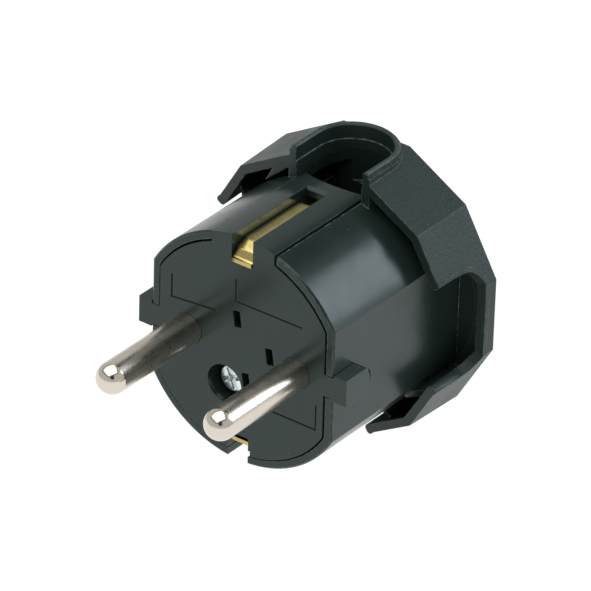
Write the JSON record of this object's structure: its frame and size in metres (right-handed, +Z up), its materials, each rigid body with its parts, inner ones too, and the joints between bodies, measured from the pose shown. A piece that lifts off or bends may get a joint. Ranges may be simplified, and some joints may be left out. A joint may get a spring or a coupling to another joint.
{
  "type": "flat electric plug",
  "caption": "Flat mains plug with round pins and side earth contacts, a faceted grip flange with finger cut-outs, and a U-shaped collar where the cable leaves at right angles to the pins",
  "frame": {"origin": "on the plug's face, midway between the two pins", "axes": "X to the right as seen from the front, Y from the face into the plug, Z up towards the cable collar; the pins point along -Y"},
  "size_m": [0.0436, 0.0515, 0.0442],
  "materials": {
    "cover_plastic": "moulded black plastic, satin sleeve and finely textured flange",
    "carrier_plastic": "moulded black plastic, satin",
    "nickel": "bright nickel plate on turned brass",
    "brass": "rolled strip, bare",
    "zinc_steel": "bright zinc plate"
  },
  "bodies": {
    "root": {"cover": "cover_plastic", "pin_carrier": "carrier_plastic", "left_pin": "nickel", "right_pin": "nickel", "pin_terminal_screws": "zinc_steel", "earth_strap": "brass", "earth_nut": "zinc_steel", "earth_wire_washer": "zinc_steel", "earth_terminal_screw": "zinc_steel", "assembly_screw": "zinc_steel", "threaded_insert": "brass", "cord_clamp": "carrier_plastic", "cord_clamp_screws": "zinc_steel"}
  },
  "joints": []
}
